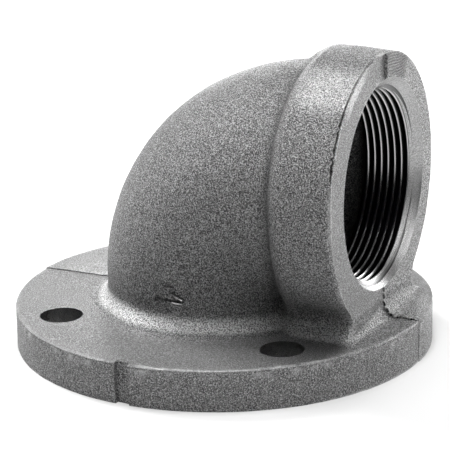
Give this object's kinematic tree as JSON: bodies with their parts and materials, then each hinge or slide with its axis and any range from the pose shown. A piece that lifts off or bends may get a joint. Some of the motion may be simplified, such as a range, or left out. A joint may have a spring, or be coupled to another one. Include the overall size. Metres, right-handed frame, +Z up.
{
  "type": "flanged elbow",
  "caption": "Cast iron right-angle pipe elbow with a drilled round flange below and a banded, taper-threaded outlet at the side.",
  "frame": {"origin": "centre of the flange's bottom face", "axes": "+Z up the flange's axis, +X out of the threaded outlet, +Y across the mould's parting plane"},
  "size_m": [0.1905, 0.1904, 0.1376],
  "materials": {
    "cast_iron": "sand-cast grey iron with a fine grain, turned bright on the outlet's face and thread"
  },
  "bodies": {
    "root": {"elbow_casting": "cast_iron"}
  },
  "joints": []
}
